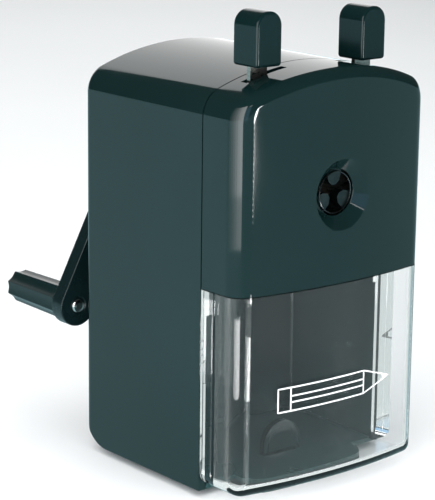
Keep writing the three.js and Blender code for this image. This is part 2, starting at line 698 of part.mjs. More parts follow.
const pieces = [
  ["main_casing", mainCasing(), DARK],
  ["base_plate", basePlate(), DARK],
  ["front_foot", frontFoot(), RUBBER],
  ["centre_pad", roundFoot(7, 0, 0), RUBBER],
  ["rear_foot_left", roundFoot(5, -23, 12), RUBBER],
  ["rear_foot_right", roundFoot(5, 23, 12), RUBBER],
  ["base_screw_left", baseScrew(-20.5), STEEL],
  ["base_screw_right", baseScrew(20.5), STEEL],
  ["bulkhead", bulkhead(), DARK],
  ["bulkhead_screw_left", bulkheadScrew(-26), STEEL],
  ["bulkhead_screw_right", bulkheadScrew(26), STEEL],
  ["ring_gear", ringGear(), WHITE],
  ["rear_bearing", rearBearing(), DARK],
  ["front_cover", frontCover(), DARK],
  ["chuck_plate", chuckPlate(), STEEL],
  ["chuck_ring", chuckRing(), STEEL],
  ["chuck_screw_left", chuckScrew(-17), STEEL],
  ["chuck_screw_right", chuckScrew(17), STEEL],
  ["guide_rod_left", guideRod(-ROD_X), STEEL],
  ["guide_rod_right", guideRod(ROD_X), STEEL],
  ["return_spring_left", returnSpring(-ROD_X), STEEL],
  ["return_spring_right", returnSpring(ROD_X), STEEL],
  ["lever_strip_left", leverStripLeft(), STEEL],
  ["lever_strip_right", leverStripRight(), STEEL],
  ["lever_cap_left", leverCap(LEFT_LEVER), DARK],
  ["lever_cap_right", leverCap(RIGHT_LEVER), DARK],
  ["lever_spring", leverSpring(), STEEL],
  ["jaw_top", jaw(90), STEEL],
  ["jaw_left", jaw(210), STEEL],
  ["jaw_right", jaw(330), STEEL],
  ["drawer", drawer(), CLEAR],
  ["crank_arm", crankArm(), DARK],
  ["crank_screw", crankScrew(), STEEL],
  ["handle_pin", handlePin(), STEEL],
  ["handle_grip", handleGrip(), DARK],
  ["cutter_carrier", cutterCarrier(), WHITE],
  ["helical_cutter", helicalCutter(), STEEL],
];

const sharpener = new THREE.Group();
sharpener.name = "pencil_sharpener";
for (const [name, solid, material] of pieces) {
  const mesh = new THREE.Mesh(toGeometry(solid), material);
  mesh.name = name;
  sharpener.add(mesh);
}

export default sharpener;
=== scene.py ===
import math

import bmesh
import bpy
from mathutils import Matrix, Vector


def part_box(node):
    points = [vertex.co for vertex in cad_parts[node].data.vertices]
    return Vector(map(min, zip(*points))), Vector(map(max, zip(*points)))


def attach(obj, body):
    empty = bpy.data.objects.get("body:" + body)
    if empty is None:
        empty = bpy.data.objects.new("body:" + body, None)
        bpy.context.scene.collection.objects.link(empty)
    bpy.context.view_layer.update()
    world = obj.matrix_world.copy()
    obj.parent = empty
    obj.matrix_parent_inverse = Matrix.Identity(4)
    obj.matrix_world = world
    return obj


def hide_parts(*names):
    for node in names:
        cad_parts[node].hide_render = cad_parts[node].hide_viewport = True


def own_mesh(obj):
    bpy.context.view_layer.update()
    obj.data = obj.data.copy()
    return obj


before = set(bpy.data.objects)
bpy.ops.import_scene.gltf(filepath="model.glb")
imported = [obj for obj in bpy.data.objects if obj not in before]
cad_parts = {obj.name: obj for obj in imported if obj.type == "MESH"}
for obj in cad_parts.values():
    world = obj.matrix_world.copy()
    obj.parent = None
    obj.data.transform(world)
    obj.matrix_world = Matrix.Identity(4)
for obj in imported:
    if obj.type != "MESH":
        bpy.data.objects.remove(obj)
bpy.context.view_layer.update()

MM = 0.001

# Body sizes, in millimetres, as in the CAD source
HALF_WIDTH = 33.0
FRONT_Y = -34.6
COVER_REAR_Y = -17.25
CASING_FRONT_Y = -16.8
REAR_Y = 34.6
CASING_BOTTOM = 2.0
COVER_BOTTOM = 57.6
ARCH_TOP = 114.5
ARCH_RADIUS = 80.0
SHOULDER_RADIUS = 7.5
FRONT_BULGE = 3.56
WALL = 2.2
REAR_CORNER = 10.0

# Pencil line and crank
AXIS_Z = 81.4
MOUTH_RADIUS = 9.25
HOLE_RADIUS = 6.2
CONE_DEPTH = 3.0
SHAFT_RADIUS = 4.0
BEARING_RADIUS = 7.05
CRANK_THROW = 51.5
CRANK_LEAN = math.radians(36)
ARM_FRONT_Y = 41.4
ARM_REAR_Y = 46.2
ARM_END = (-CRANK_THROW * math.sin(CRANK_LEAN), AXIS_Z - CRANK_THROW * math.cos(CRANK_LEAN))

# Levers, rods and drawer
LEFT_LEVER = (-18.8, 115.1)
RIGHT_LEVER = (17.5, 114.0)
STRIP_FRONT_Y = -21.95
STRIP_THICKNESS = 1.3
CAP_HEIGHT = 14.15
LEVER_SPRING_Z = 102.5
ROD_X = 24.5
ROD_Z = 68.0
ROD_RADIUS = 2.0
DRAWER_BOTTOM = 3.5
DRAWER_TOP = 57.35
DRAWER_REAR_Y = 17.0
DRAWER_CORNER = 4.0
DRAWER_WALL = 2.0
DRAWER_FLOOR = 1.5
DRAWER_INNER_HALF = 29.4
DRAWER_INNER_TOP = 50.0

# Fixings inside the casing and the cover
BULKHEAD_SCREW_X = 26.0
BULKHEAD_SCREW_Z = 95.0
BASE_SCREW_X = 20.5
BASE_SCREW_Y = 21.5
SCREW_HOLE_RADIUS = 1.3
CHUCK_SCREW_X = 17.0
CHUCK_SCREW_Z = 69.0
CHUCK_SCREW_HOLE_RADIUS = 1.2


# ---- mesh helpers (millimetres in, metres out) ----

def new_object(name, points, faces):
    mesh = bpy.data.meshes.new(name)
    mesh.from_pydata([[c * MM for c in p] for p in points], [], faces)
    obj = bpy.data.objects.new(name, mesh)
    bpy.context.scene.collection.objects.link(obj)
    tidy_mesh(obj)
    return obj


def tidy_mesh(obj, merge=1e-7):
    bm = bmesh.new()
    bm.from_mesh(obj.data)
    bmesh.ops.remove_doubles(bm, verts=bm.verts, dist=merge)
    bmesh.ops.dissolve_degenerate(bm, edges=bm.edges, dist=merge)
    bmesh.ops.recalc_face_normals(bm, faces=bm.faces)
    if bm.calc_volume(signed=True) < 0:
        bmesh.ops.reverse_faces(bm, faces=bm.faces)
    bm.to_mesh(obj.data)
    bm.free()


def apply_modifiers(obj):
    graph = bpy.context.evaluated_depsgraph_get()
    mesh = bpy.data.meshes.new_from_object(obj.evaluated_get(graph))
    obj.modifiers.clear()
    obj.data = mesh


def bevel(obj, width, segments=3, angle=40):
    modifier = obj.modifiers.new("edges", "BEVEL")
    modifier.width = width * MM
    modifier.segments = segments
    modifier.limit_method = "ANGLE"
    modifier.angle_limit = math.radians(angle)
    modifier.miter_outer = "MITER_ARC"
    apply_modifiers(obj)
    return obj


def combine(obj, tool, operation):
    modifier = obj.modifiers.new("solid", "BOOLEAN")
    modifier.operation = operation
    modifier.solver = "MANIFOLD"
    modifier.object = tool
    apply_modifiers(obj)
    bpy.data.objects.remove(tool)
    return obj


def cut(obj, *tools):
    for tool in tools:
        combine(obj, tool, "DIFFERENCE")
    return obj


def join(obj, *tools):
    for tool in tools:
        combine(obj, tool, "UNION")
    return obj


def smooth(obj, angle=35):
    mesh = obj.data
    mesh.shade_smooth()
    mesh.set_sharp_from_angle(angle=math.radians(angle))
    modifier = obj.modifiers.new("normals", "WEIGHTED_NORMAL")
    modifier.mode = "FACE_AREA"
    modifier.keep_sharp = True
    modifier.weight = 60
    return obj


def box(x0, x1, y0, y1, z0, z1):
    points = [(x, y, z) for x in (x0, x1) for y in (y0, y1) for z in (z0, z1)]
    faces = [(0, 1, 3, 2), (4, 6, 7, 5), (0, 4, 5, 1), (2, 3, 7, 6), (0, 2, 6, 4), (1, 5, 7, 3)]
    return new_object("tool", points, faces)


def turned(profile, x=0.0, z=AXIS_Z, segments=64, name="tool"):
    """Solid turned about a line along Y; profile is a list of (radius, y) that starts and ends on the line
    or closes on itself."""
    points = []
    for i in range(segments):
        turn = 2 * math.pi * i / segments
        points += [(x + r * math.cos(turn), y, z + r * math.sin(turn)) for r, y in profile]
    count = len(profile)
    faces = []
    for i in range(segments):
        j = (i + 1) % segments
        for k in range(count):
            n = (k + 1) % count
            faces.append((i * count + k, i * count + n, j * count + n, j * count + k))
    return new_object(name, points, faces)


def rod(radius, y0, y1, x=0.0, z=AXIS_Z, segments=48):
    return turned([(0, y0), (radius, y0), (radius, y1), (0, y1)], x, z, segments)


def extruded(outline, low, high, corner, name="tool"):
    """Solid between two levels; corner gives the point for an outline point at a level."""
    count = len(outline)
    points = [corner(a, b, level) for level in (low, high) for a, b in outline]
    faces = [tuple(range(count)), tuple(range(2 * count - 1, count - 1, -1))]
    faces += [(i, (i + 1) % count, count + (i + 1) % count, count + i) for i in range(count)]
    return new_object(name, points, faces)


def prism(outline, y0, y1, name="tool"):
    """Outline in X and Z, made solid between two Y values."""
    return extruded(outline, y0, y1, lambda x, z, y: (x, y, z), name)


def prism_x(outline, x0, x1):
    """Outline in Y and Z, made solid between two X values."""
    return extruded(outline, x0, x1, lambda y, z, x: (x, y, z))


def prism_z(outline, z0, z1):
    """Outline in X and Y, made solid between two Z values."""
    return extruded(outline, z0, z1, lambda x, y, z: (x, y, z))


def tube_along(path, radius, sides, name):
    """Round wire with flat ends along a list of points."""
    points, faces = [], []
    for i, point in enumerate(path):
        before, after = path[max(i - 1, 0)], path[min(i + 1, len(path) - 1)]
        along = (Vector(after) - Vector(before)).normalized()
        across = along.cross(Vector((0, 1, 0.001))).normalized()
        up = across.cross(along)
        for k in range(sides):
            turn = 2 * math.pi * k / sides
            offset = across * math.cos(turn) * radius + up * math.sin(turn) * radius
            points.append(tuple(Vector(point) + offset))
    for i in range(len(path) - 1):
        for k in range(sides):
            n = (k + 1) % sides
            faces.append((i * sides + k, i * sides + n, (i + 1) * sides + n, (i + 1) * sides + k))
    faces.append(tuple(range(sides)))
    faces.append(tuple(len(points) - 1 - k for k in range(sides)))
    return new_object(name, points, faces)


# ---- casing sections ----

def arc_points(x, z, radius, start, end, steps, first=0):
    turns = [start + (end - start) * i / steps for i in range(first, steps + 1)]
    return [(x + radius * math.cos(a), z + radius * math.sin(a), math.cos(a), math.sin(a)) for a in turns]


def arch_profile(inset=0.0, arch_steps=56, shoulder_steps=14):
    """Over the arched top, left to right: x, z and the outward direction."""
    arch_z = ARCH_TOP - ARCH_RADIUS
    fillet_x = HALF_WIDTH - SHOULDER_RADIUS
    fillet_z = arch_z + math.sqrt((ARCH_RADIUS - SHOULDER_RADIUS) ** 2 - fillet_x ** 2)
    meet = math.atan2(fillet_z - arch_z, fillet_x)
    shoulder = SHOULDER_RADIUS - inset
    points = arc_points(-fillet_x, fillet_z, shoulder, math.pi, math.pi - meet, shoulder_steps)
    points += arc_points(0, arch_z, ARCH_RADIUS - inset, math.pi - meet, meet, arch_steps, 1)
    points += arc_points(fillet_x, fillet_z, shoulder, meet, 0, shoulder_steps, 1)
    return points


def tray_profile(half, bottom, corner, flat_steps=40, corner_steps=10):
    """Under a flat-bottomed tray with rounded lower corners, left to right."""
    flat = half - corner
    points = arc_points(-flat, bottom + corner, corner, math.pi, 1.5 * math.pi, corner_steps)
    points += [(-flat + 2 * flat * i / flat_steps, bottom, 0.0, -1.0) for i in range(1, flat_steps)]
    points += arc_points(flat, bottom + corner, corner, 1.5 * math.pi, 2 * math.pi, corner_steps)
    return points


def block(profile, flat_z, open_y, closed_y, side_radius, edge_radius, bulge=0.0, steps=12, rows=22):
    """Closed solid under a profile, with a rounded and sometimes bulged closed end."""
    sign = 1.0 if open_y > closed_y else -1.0
    loops = [[(x, open_y, z) for x, z, _, _ in profile]]
    for k in range(steps + 1):
        turn = math.pi / 2 * k / steps
        loop = []
        for x, z, nx, nz in profile:
            radius = side_radius * nx * nx + edge_radius * (1 - nx * nx)
            drawn = radius * (1 - math.cos(turn))
            px = x - nx * drawn
            depth = radius * (1 - math.sin(turn)) + bulge * (px / HALF_WIDTH) ** 2
            loop.append((px, closed_y + sign * depth, z - nz * drawn))
        loops.append(loop)
    count = len(profile)
    points, faces = [], []

    def grid(rows_of_points):
        base = len(points)
        width = len(rows_of_points[0])
        for row in rows_of_points:
            points.extend(row)
        for r in range(len(rows_of_points) - 1):
            for c in range(width - 1):
                a = base + r * width + c
                faces.append((a, a + 1, a + width + 1, a + width))

    def down(loop):
        return [[(x, y, z + (flat_z - z) * r / rows) for x, y, z in loop] for r in range(rows + 1)]

    grid(loops)
    for end in (loops[0], loops[-1]):
        grid(down(end))
    for side in (0, count - 1):
        edge = [loop[side] for loop in loops]
        grid(down(edge))
    grid([[(x, y, flat_z) for x, y, _ in loop] for loop in loops])
    return new_object("tool", points, faces)


# ---- fixed pieces ----

def side_box(side, x0, x1, *rest):
    """Box on the right for side 1, or its mirror image on the left for side -1."""
    return box(x0, x1, *rest) if side > 0 else box(-x1, -x0, *rest)


def upright(radius, z0, z1, x, y, segments):
    turns = [2 * math.pi * i / segments for i in range(segments)]
    return prism_z([(x + radius * math.cos(a), y + radius * math.sin(a)) for a in turns], z0, z1)


def make_casing():
    casing = block(arch_profile(), CASING_BOTTOM, CASING_FRONT_Y, REAR_Y, 2.8, 2.6)
    corner_y, corner_z = REAR_Y - REAR_CORNER, CASING_BOTTOM + REAR_CORNER
    outline = [(-60, 140), (-60, CASING_BOTTOM), (corner_y, CASING_BOTTOM)]
    for i in range(1, 25):
        a = math.radians(-90 + 90 * i / 24)
        outline.append((corner_y + REAR_CORNER * math.cos(a), corner_z + REAR_CORNER * math.sin(a)))
    outline.append((REAR_Y, 140))
    combine(casing, prism_x(outline, -50, 50), "INTERSECT")
    bevel(casing, 0.35, 3, 50)
    inner = block(arch_profile(WALL, 28, 8), CASING_BOTTOM - 1, CASING_FRONT_Y - 1, REAR_Y - WALL, 1, 1,
                  steps=4, rows=2)
    cut(casing, inner)
    corner_fill = [(25.4, 2.02), (29, 2.7), (31.9, 5), (33, 8.5), (33, 12), (32.1, 9), (28.6, 5)]
    join(casing, prism_x(corner_fill, -HALF_WIDTH + 0.5, HALF_WIDTH - 0.5))
    for side in (-1, 1):
        join(casing, side_box(side, 22.5, 31.5, -12.6, -2, 92, 98))
        join(casing, side_box(side, 17, 24, 18.5, 33, 3.4, 14))
        cut(casing, rod(SCREW_HOLE_RADIUS, -12.7, -5, side * BULKHEAD_SCREW_X, BULKHEAD_SCREW_Z, 24))
        cut(casing, upright(SCREW_HOLE_RADIUS, 3.3, 12, side * BASE_SCREW_X, BASE_SCREW_Y, 24))
    cut(casing, rod(BEARING_RADIUS, REAR_Y - 4, REAR_Y + 1))
    casing.name = "casing_shell"
    return casing


# ---- sliding front ----

def make_cover():
    cover = block(arch_profile(), COVER_BOTTOM, COVER_REAR_Y, FRONT_Y, 4.5, 3.0, FRONT_BULGE, rows=30)
    bevel(cover, 0.3, 3, 50)
    inner = block(arch_profile(WALL, 28, 8), COVER_BOTTOM + 2, COVER_REAR_Y + 1, FRONT_Y + 2.4, 2, 1,
                  FRONT_BULGE, steps=4, rows=2)
    cut(cover, inner)
    join(cover, rod(9.6, FRONT_Y + 1, FRONT_Y + 3.4, segments=64))
    for x in (-ROD_X, ROD_X):
        join(cover, rod(4, -31.2, -22, x, ROD_Z))
        cut(cover, rod(ROD_RADIUS + 0.03, -30.2, -21, x, ROD_Z))
    for x in (-CHUCK_SCREW_X, CHUCK_SCREW_X):
        join(cover, rod(3, -32.5, -27.7, x, CHUCK_SCREW_Z))
        cut(cover, rod(CHUCK_SCREW_HOLE_RADIUS, -31.5, -27, x, CHUCK_SCREW_Z))
    cut(cover, mouth_tool())
    for x, _ in (LEFT_LEVER, RIGHT_LEVER):
        ends = sorted((x + math.copysign(4.4, x), x - math.copysign(9.2, x)))
        cut(cover, box(*ends, -22.5, -20.1, 104, 120))
    cover.name = "cover_shell"
    return cover


def mouth_tool():
    """The countersink and the hole, with softened edges."""
    lip, inner_lip = 0.35, 0.3
    outside = MOUTH_RADIUS + lip + 0.2
    lip_centre = MOUTH_RADIUS + lip * 0.75
    slope = math.atan2(CONE_DEPTH, MOUTH_RADIUS - HOLE_RADIUS)
    profile = [(0, FRONT_Y - 1), (outside, FRONT_Y - 1), (outside, FRONT_Y - 0.05)]
    for i in range(7):
        a = math.pi / 2 - slope * i / 6
        profile.append((lip_centre - lip * math.cos(a), FRONT_Y + 0.1 + lip - lip * math.sin(a)))
    for i in range(5):
        a = (math.pi / 2 - slope) * (1 - i / 4)
        profile.append((HOLE_RADIUS + inner_lip - inner_lip * math.cos(a),
                        FRONT_Y + CONE_DEPTH - 0.1 + inner_lip * (1 - math.sin(a))))
    profile += [(HOLE_RADIUS, FRONT_Y + 4.2), (0, FRONT_Y + 4.2)]
    return turned(profile, segments=96)


def cap_outline(x, half, corner, bottom, top, lower=0.9, steps=14):
    """Front view of a lever cap: large round corners on top, small ones below."""
    points = []
    for cx, cz, radius, start in (
        (x + half - lower, bottom + lower, lower, -90), (x + half - corner, top - corner, corner, 0),
        (x - half + corner, top - corner, corner, 90), (x - half + lower, bottom + lower, lower, 180),
    ):
        count = steps if radius == corner else 5
        for i in range(count + 1):
            a = math.radians(start + 90 * i / count)
            points.append((cx + radius * math.cos(a), cz + radius * math.sin(a)))
    return points


def make_cap(lever, name):
    x, bottom = lever
    middle = STRIP_FRONT_Y + STRIP_THICKNESS / 2
    outline = cap_outline(x, 4.25, 3.9, bottom, bottom + CAP_HEIGHT)
    cap = prism(outline, middle - 4.8, middle + 4.8, name)
    bevel(cap, 0.8, 5, 60)
    cut(cap, box(x - 2.82, x + 2.82, STRIP_FRONT_Y - 0.02, STRIP_FRONT_Y + STRIP_THICKNESS + 0.02,
                 bottom - 1, bottom + 6.05))
    cap.name = name
    return cap


# ---- drawer ----

def make_drawer():
    """Clear tray: a wide bulged front, a narrower rear part, and a tab standing on its floor."""
    inside = DRAWER_BOTTOM + DRAWER_FLOOR
    outer = tray_profile(HALF_WIDTH, DRAWER_BOTTOM, DRAWER_CORNER)
    drawer = block(outer, DRAWER_TOP, -17.2, FRONT_Y, 4.5, 2.4, FRONT_BULGE)
    rear_outer = tray_profile(DRAWER_INNER_HALF, DRAWER_BOTTOM, 2.5, 4, 6)
    join(drawer, block(rear_outer, DRAWER_INNER_TOP, -18.5, DRAWER_REAR_Y, 1.5, 1.0, steps=5, rows=2))
    bevel(drawer, 0.25, 2, 50)
    inner = tray_profile(HALF_WIDTH - DRAWER_WALL, inside, 2.4)
    hollow = block(inner, DRAWER_TOP + 5, -19.2, FRONT_Y + DRAWER_WALL, 2.6, 1.8, FRONT_BULGE)
    rear_inner = tray_profile(DRAWER_INNER_HALF - 1.8, inside, 1.2, 4, 6)
    rear_hollow = block(rear_inner, 70, -20, DRAWER_REAR_Y - 1.8, 0.8, 0.8, steps=4, rows=2)
    for side in (-1, 1):
        corner = [(31.2, -19.0), (31.2, -22.0), (28.0, -19.0)]
        cut(hollow, prism_z([(side * x, y) for x, y in corner], DRAWER_BOTTOM, 70))
    cut(drawer, hollow, rear_hollow)
    join(drawer, drawer_tab(6.5, 9.2, -12.1, -10.1))
    cut(drawer, drawer_tab(4.9, 7.6, -12.6, -11.5))
    drawer.name = "drawer_clear"
    return drawer


def front_curve(x):
    return FRONT_Y + FRONT_BULGE * (x / HALF_WIDTH) ** 2


def wrapped(points, faces, name, raised):
    """Thin print on the drawer's bulged front; points are (x, z) and faces list them."""
    count = len(points)
    front = [(x, front_curve(x) - raised, z) for x, z in points]
    rear = [(x, front_curve(x) + 0.02, z) for x, z in points]
    sides = [(a, b) for face in faces for a, b in zip(face, face[1:] + face[:1])]
    inner = {(b, a) for a, b in sides}
    all_faces = [tuple(face) for face in faces]
    all_faces += [tuple(count + i for i in reversed(face)) for face in faces]
    all_faces += [(b, a, count + a, count + b) for a, b in sides if (a, b) not in inner]
    return new_object(name, front + rear, all_faces)


def band(path, width, closed=False):
    """Flat stroke of even width along a path in X and Z."""
    points, faces = [], []
    count = len(path)
    for i, (x, z) in enumerate(path):
        ahead = path[(i + 1) % count] if closed or i + 1 < count else path[i]
        behind = path[i - 1] if closed or i else path[i]
        dx, dz = ahead[0] - behind[0], ahead[1] - behind[1]
        length = math.hypot(dx, dz)
        nx, nz = -dz / length * width / 2, dx / length * width / 2
        points += [(x + nx, z + nz), (x - nx, z - nz)]
    for i in range(count if closed else count - 1):
        j = (i + 1) % count
        faces.append([2 * i, 2 * j, 2 * j + 1, 2 * i + 1])
    return points, faces


def resampled(corners, step=1.0, closed=False):
    """The same path with a point about every step, so that it can follow a curved face."""
    path = []
    ends = corners[1:] + corners[:1] if closed else corners[1:]
    for (x0, z0), (x1, z1) in zip(corners, ends):
        count = max(1, round(math.hypot(x1 - x0, z1 - z0) / step))
        path += [(x0 + (x1 - x0) * i / count, z0 + (z1 - z0) * i / count) for i in range(count)]
    return path if closed else path + [corners[-1]]


def make_print():
    """Plain pencil drawn in outline, as generic decoration: body, collar lines and point."""
    left, right, tip = -20.0, 9.5, 19.5
    middle, half, line = 28.6, 3.2, 0.85
    strokes = [
        ([(left, middle - half), (right, middle - half), (tip, middle), (right, middle + half),
          (left, middle + half)], True),
        ([(right, middle - half + 0.3), (right, middle + half - 0.3)], False),
        ([(left + 4, middle - half + 0.3), (left + 4, middle + half - 0.3)], False),
        ([(left + 4.3, middle - line), (right - 0.3, middle - line)], False),
        ([(left + 4.3, middle + line), (right - 0.3, middle + line)], False),
    ]
    points, faces = [], []
    for corners, closed in strokes:
        stroke_points, stroke_faces = band(resampled(corners, 1.0, closed), 0.42, closed)
        base = len(points)
        points += stroke_points
        faces += [[base + i for i in face] for face in stroke_faces]
    base = len(points)
    points += [(tip - 2.6, middle - line), (tip - 0.3, middle), (tip - 2.6, middle + line)]
    faces.append([base, base + 1, base + 2])
    return wrapped(points, faces, "drawer_print", 0.03)


def drawer_tab(half, height, y0, y1):
    """Upright plate with a round top."""
    floor = DRAWER_BOTTOM + 1
    outline = [(-half, floor), (half, floor)]
    for i in range(25):
        a = math.pi * i / 24
        outline.append((half * math.cos(a), floor + height - half * 0.95 + half * math.sin(a)))
    return prism(outline, y0, y1)


# ---- crank ----

def teardrop(hub, end):
    """Front view of the arm, from a round hub on the crank's axis to a round end on the pin."""
    axis = math.atan2(ARM_END[1] - AXIS_Z, ARM_END[0])
    spread = math.acos((hub - end) / CRANK_THROW)
    outline = []
    for i in range(25):
        a = axis - spread + 2 * spread * i / 24
        outline.append((ARM_END[0] + end * math.cos(a), ARM_END[1] + end * math.sin(a)))
    for i in range(37):
        a = axis + spread + (2 * math.pi - 2 * spread) * i / 36
        outline.append((hub * math.cos(a), AXIS_Z + hub * math.sin(a)))
    return outline


def make_arm():
    arm = prism(teardrop(13.5, 5.9), ARM_FRONT_Y, ARM_REAR_Y)
    bevel(arm, 0.35, 4, 60)
    join(arm, rod(8.5, 39, ARM_FRONT_Y + 3))
    cut(arm, rod(SHAFT_RADIUS + 0.01, 38, 44), rod(1.7, 43, 47), rod(2.01, 40, 47, *ARM_END))
    dish = [
        (2.0, ARM_FRONT_Y - 1), (2.9, ARM_FRONT_Y - 1), (2.7, ARM_FRONT_Y + 0.02), (2.3, ARM_FRONT_Y + 0.3),
        (2.0, ARM_FRONT_Y + 0.3),
    ]
    cut(arm, turned(dish, *ARM_END))
    arm.name = "crank_arm_moulded"
    return arm


def fluted_ring(radius, flute, steps=6):
    """Eight-sided section with slightly hollow sides: (distance from the pin, bearing)."""
    points = []
    for side in range(8):
        for i in range(steps):
            t = i / steps
            a = math.radians(22.5 + 45 * side + 45 * t)
            flat = radius * math.cos(math.pi / 8) / math.cos(math.radians(45 * t - 22.5))
            points.append((flat - flute * math.sin(math.pi * t), a))
    return points


def make_grip():
    low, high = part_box("handle_grip")
    front_y, rear_y = low.y / MM, high.y / MM
    sections = [
        (front_y, 4.75), (front_y + 0.35, 5.1), (rear_y - 0.8, 4.74), (rear_y - 0.2, 4.45), (rear_y, 4.1),
    ]
    points, faces = [], []
    for y, radius in sections:
        points += [(ARM_END[0] + r * math.cos(a), y, ARM_END[1] + r * math.sin(a))
                   for r, a in fluted_ring(radius, 0.3)]
    count = len(points) // len(sections)
    for k in range(len(sections) - 1):
        for i in range(count):
            j = (i + 1) % count
            faces.append((k * count + i, k * count + j, (k + 1) * count + j, (k + 1) * count + i))
    faces += [tuple(range(count)), tuple(range(len(points) - 1, len(points) - 1 - count, -1))]
    grip = new_object("grip_octagon", points, faces)
    bevel(grip, 0.25, 3, 32)
    cut(grip, rod(2.08, 46, 75, *ARM_END), rod(3.1, rear_y - 2, 75, *ARM_END))
    grip.name = "grip_octagon"
    return grip


# ---- springs ----

def helix(radius, turns, start, length, centre, along, steps=22):
    """Coil path along X or Y; centre holds the two coordinates across it."""
    points = []
    for i in range(turns * steps + 1):
        t = i / (turns * steps)
        a = 2 * math.pi * turns * t
        first, second = centre[0] + radius * math.cos(a), centre[1] + radius * math.sin(a)
        reach = start + length * t
        points.append((first, reach, second) if along == "y" else (reach, first, second))
    return points


# ---- materials ----

class Shader:
    """Small helper that builds one node material."""

    def __init__(self, name, colour, roughness, metallic=0.0, **sockets):
        self.material = bpy.data.materials.new(name)
        self.material.use_nodes = True
        self.nodes = self.material.node_tree.nodes
        self.links = self.material.node_tree.links
        self.bsdf = next(n for n in self.nodes if n.type == "BSDF_PRINCIPLED")
        self.bsdf.inputs["Base Color"].default_value = (*colour, 1)
        self.bsdf.inputs["Roughness"].default_value = roughness
        self.bsdf.inputs["Metallic"].default_value = metallic
        for key, value in sockets.items():
            self.bsdf.inputs[key.replace("_", " ")].default_value = value
        self.coordinates = self.nodes.new("ShaderNodeTexCoord")
        self.bump = None

    def noise(self, scale, detail=3.0, stretch=(1, 1, 1), distortion=0.0):
        mapping = self.nodes.new("ShaderNodeMapping")
        mapping.inputs["Scale"].default_value = stretch
        self.links.new(self.coordinates.outputs["Object"], mapping.inputs["Vector"])
        noise = self.nodes.new("ShaderNodeTexNoise")
        noise.inputs["Scale"].default_value = scale
        noise.inputs["Detail"].default_value = detail
        noise.inputs["Distortion"].default_value = distortion
        self.links.new(mapping.outputs["Vector"], noise.inputs["Vector"])
        return noise.outputs["Fac"]

    def spread(self, source, low, high, start=0.3, end=0.7):
        node = self.nodes.new("ShaderNodeMapRange")
        node.inputs["From Min"].default_value = start
        node.inputs["From Max"].default_value = end
        node.inputs["To Min"].default_value = low
        node.inputs["To Max"].default_value = high
        self.links.new(source, node.inputs["Value"])
        return node.outputs["Result"]

    def colours(self, source, first, second, start=0.3, end=0.7):
        ramp = self.nodes.new("ShaderNodeValToRGB")
        ramp.color_ramp.elements[0].position = start
        ramp.color_ramp.elements[1].position = end
        ramp.color_ramp.elements[0].color = (*first, 1)
        ramp.color_ramp.elements[1].color = (*second, 1)
        self.links.new(source, ramp.inputs["Fac"])
        self.links.new(ramp.outputs["Color"], self.bsdf.inputs["Base Color"])

    def rough(self, source, low, high):
        self.links.new(self.spread(source, low, high), self.bsdf.inputs["Roughness"])

    def raise_by(self, source, distance, strength=1.0):
        bump = self.nodes.new("ShaderNodeBump")
        bump.inputs["Distance"].default_value = distance
        bump.inputs["Strength"].default_value = strength
        self.links.new(source, bump.inputs["Height"])
        if self.bump:
            self.links.new(self.bump.outputs["Normal"], bump.inputs["Normal"])
        self.bump = bump
        self.links.new(bump.outputs["Normal"], self.bsdf.inputs["Normal"])


def moulded(name, dark, light, low_rough, high_rough, ripple, grain=0.0, **sockets):
    """Injection-moulded plastic: faint colour drift, uneven gloss, slow ripple and optional fine grain."""
    shader = Shader(name, dark, low_rough, **sockets)
    shader.colours(shader.noise(28, 4), dark, light)
    shader.rough(shader.noise(60, 5, distortion=0.4), low_rough, high_rough)
    shader.raise_by(shader.noise(45, 2), ripple)
    if grain:
        shader.raise_by(shader.noise(2600, 2), grain)
    return shader.material


def brushed(name, dark, light, low_rough, high_rough, stretch=(1, 1, 14), scale=900, depth=0.00001):
    """Metal with fine drawn lines across one axis."""
    shader = Shader(name, dark, low_rough, metallic=1.0)
    shader.colours(shader.noise(scale, 3, stretch), dark, light)
    shader.rough(shader.noise(scale * 0.6, 4, stretch), low_rough, high_rough)
    shader.raise_by(shader.noise(scale, 2, stretch), depth)
    return shader.material


def rubber(name):
    shader = Shader(name, (0.012, 0.013, 0.013), 0.85)
    shader.colours(shader.noise(300, 5), (0.010, 0.011, 0.011), (0.022, 0.023, 0.023))
    shader.rough(shader.noise(500, 3), 0.75, 0.95)
    shader.raise_by(shader.noise(1500, 3), 0.00006)
    return shader.material


def clear_plastic(name):
    shader = Shader(name, (0.97, 0.98, 0.98), 0.015, Transmission_Weight=1.0, IOR=1.49)
    shader.rough(shader.noise(90, 4), 0.005, 0.03)
    shader.raise_by(shader.noise(70, 1), 0.00003)
    return shader.material


def white_print(name):
    shader = Shader(name, (0.85, 0.86, 0.86), 0.5)
    shader.colours(shader.noise(1200, 3), (0.78, 0.79, 0.79), (0.88, 0.89, 0.89))
    shader.rough(shader.noise(800, 2), 0.42, 0.6)
    return shader.material


CASING = moulded(
    "casing_gloss", (0.0030, 0.0120, 0.0122), (0.0040, 0.0140, 0.0142), 0.035, 0.07, 0.00002, IOR=1.5)
CAP = moulded(
    "lever_cap_gloss", (0.002, 0.011, 0.0115), (0.003, 0.013, 0.0135), 0.10, 0.16, 0.00003, 0.000004, IOR=1.38)
GRIP = moulded(
    "grip_gloss", (0.0040, 0.0130, 0.0135), (0.0055, 0.0155, 0.0160), 0.16, 0.26, 0.00004, 0.000006, IOR=1.33)
ARM = moulded(
    "arm_satin", (0.0025, 0.0095, 0.0105), (0.0035, 0.0115, 0.0125), 0.2, 0.32, 0.00003, 0.00001, IOR=1.45)
INSIDE = moulded(
    "inside_moulded", (0.008, 0.034, 0.034), (0.012, 0.040, 0.040), 0.25, 0.4, 0.00003, 0.000008)
GEAR = moulded("gear_nylon", (0.55, 0.55, 0.50), (0.62, 0.62, 0.57), 0.32, 0.45, 0.00003, 0.00001)
CLEAR = clear_plastic("drawer_clear_plastic")
